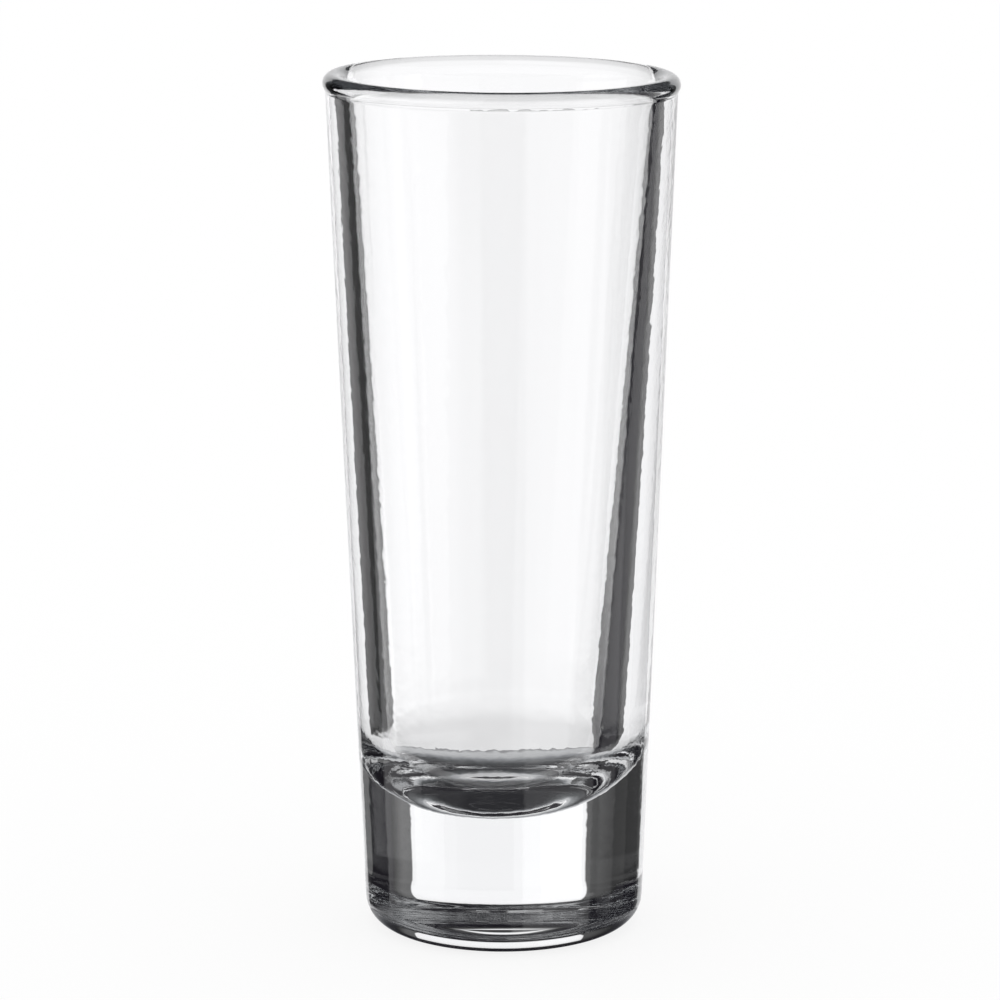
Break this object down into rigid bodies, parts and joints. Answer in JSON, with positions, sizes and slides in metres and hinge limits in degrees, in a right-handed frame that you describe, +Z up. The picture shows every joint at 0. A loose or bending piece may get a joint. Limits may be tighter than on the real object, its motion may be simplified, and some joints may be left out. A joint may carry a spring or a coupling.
{
  "type": "double shot glass",
  "caption": "Tall tapered clear shot glass with a rounded rim, a tapering round bore that ends in a bowl, and a thick solid base that stands on a flat ring.",
  "frame": {"origin": "middle of the footprint, at the height of the ring that the glass stands on", "axes": "+Z up along the axis of the glass, towards its mouth; the glass is round, so X and Y are any two square directions"},
  "size_m": [0.043, 0.043, 0.1055],
  "materials": {
    "clear_glass": "clear pressed soda-lime glass, fire-polished rim, smooth and glossy with faint ripples"
  },
  "bodies": {
    "root": {"glass_body": "clear_glass"}
  },
  "joints": []
}
